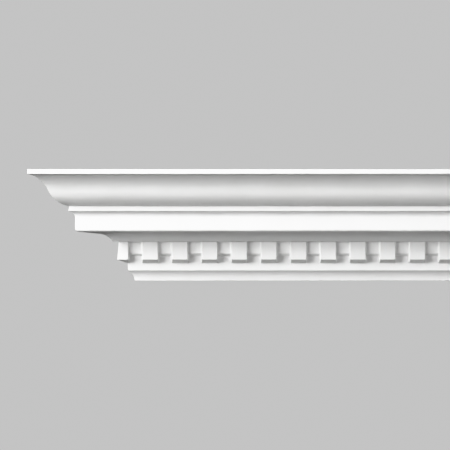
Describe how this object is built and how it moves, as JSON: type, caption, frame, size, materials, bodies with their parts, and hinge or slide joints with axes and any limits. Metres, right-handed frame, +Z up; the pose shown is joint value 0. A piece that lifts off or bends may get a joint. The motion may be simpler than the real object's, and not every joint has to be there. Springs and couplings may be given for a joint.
{
  "type": "dentil cornice moulding length",
  "caption": "Straight length of moulded foam cornice with a cyma, a plain corona and a course of square teeth, mitred at one end and cut square at the other.",
  "frame": {"origin": "centre of the flat wall bed, halfway along its length and halfway up it", "axes": "+X along the wall, from the mitred end to the square end; +Y into the wall that it is glued to; +Z up to the ceiling"},
  "size_m": [0.4325, 0.1055, 0.111],
  "materials": {
    "primed_foam": "white factory primer on moulded hard polyurethane foam, matt to satin"
  },
  "bodies": {
    "root": {"cornice_moulding": "primed_foam"}
  },
  "joints": []
}
